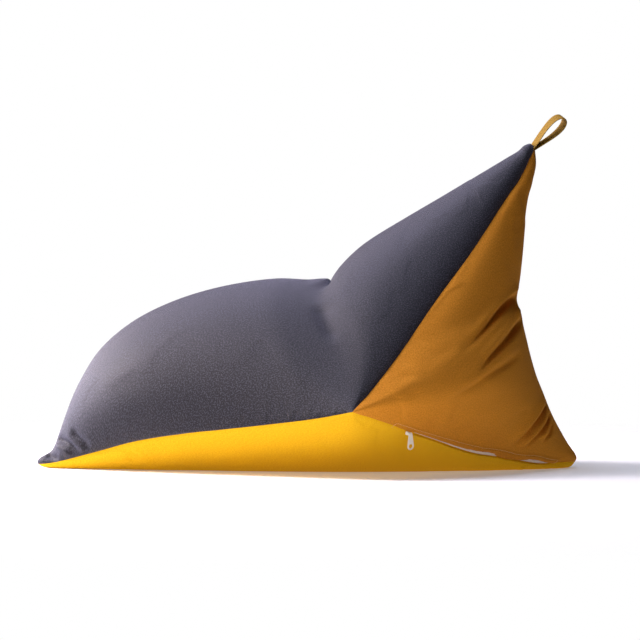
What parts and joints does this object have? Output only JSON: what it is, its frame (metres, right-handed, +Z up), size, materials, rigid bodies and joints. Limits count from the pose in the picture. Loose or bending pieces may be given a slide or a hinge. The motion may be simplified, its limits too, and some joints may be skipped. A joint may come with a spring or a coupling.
{
  "type": "triangular bean bag lounger",
  "caption": "Filled triangular bean bag with kite-shaped panels in charcoal, yellow and mustard, a carrying loop at its raised top corner and a zip along the rear seam.",
  "frame": {"origin": "on the floor under the middle of the bag's length and width", "axes": "+X from the low toe to the rear corner, +Z up, the zip on the -Y side"},
  "size_m": [1.1, 0.74, 0.7225],
  "materials": {
    "charcoal_cloth": "heathered charcoal knit with a faint violet cast",
    "yellow_cloth": "warm yellow heathered knit",
    "mustard_cloth": "dark mustard heathered knit",
    "ochre_webbing": "golden ochre strap, flat woven",
    "zip_tape": "pale woven zip tape with closed coil teeth",
    "zip_metal": "cream lacquered metal, satin"
  },
  "bodies": {
    "root": {"top_panel": "charcoal_cloth", "rear_panel": "mustard_cloth", "base_panel": "yellow_cloth", "handle_loop": "ochre_webbing", "zip_tape": "zip_tape", "zip_slider": "zip_metal", "zip_pull": "zip_metal"}
  },
  "joints": []
}
